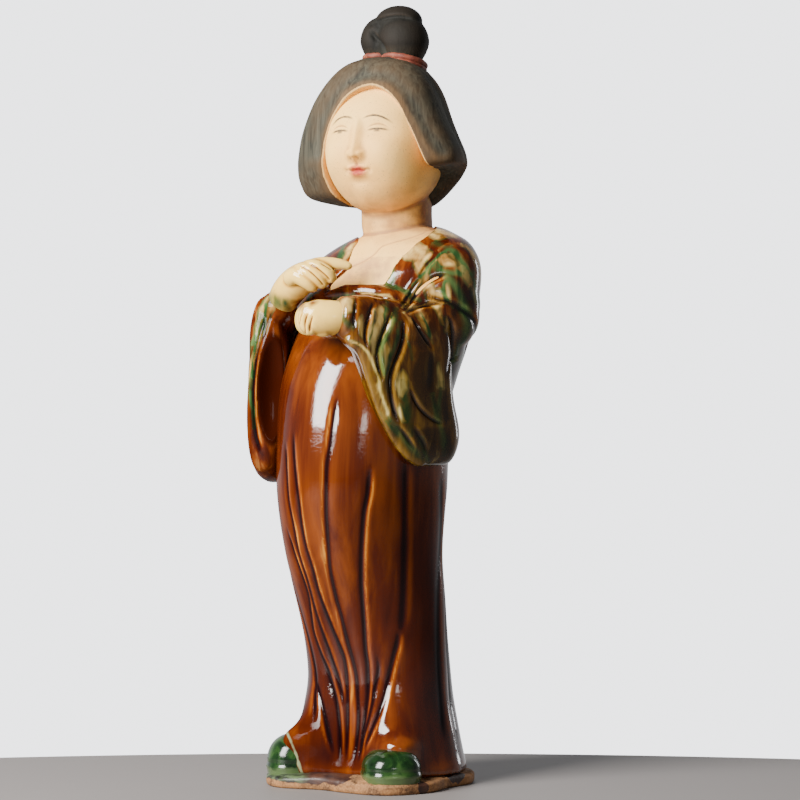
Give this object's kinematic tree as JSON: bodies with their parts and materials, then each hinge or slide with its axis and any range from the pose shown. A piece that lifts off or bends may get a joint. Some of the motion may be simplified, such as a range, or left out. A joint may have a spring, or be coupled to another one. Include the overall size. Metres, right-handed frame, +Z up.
{
  "type": "tomb attendant figure",
  "caption": "Glazed pottery figure of a plump standing court lady in a long robe and wide sleeves, hands raised before the chest, on a low uneven base.",
  "frame": {"origin": "on the table, under the middle of the low base", "axes": "+Z up; the figure faces -Y, and +X is its left side"},
  "size_m": [0.1317, 0.1296, 0.445],
  "materials": {
    "glazed_pottery": "glossy"
  },
  "bodies": {
    "root": {"court_lady": "glazed_pottery"}
  },
  "joints": []
}
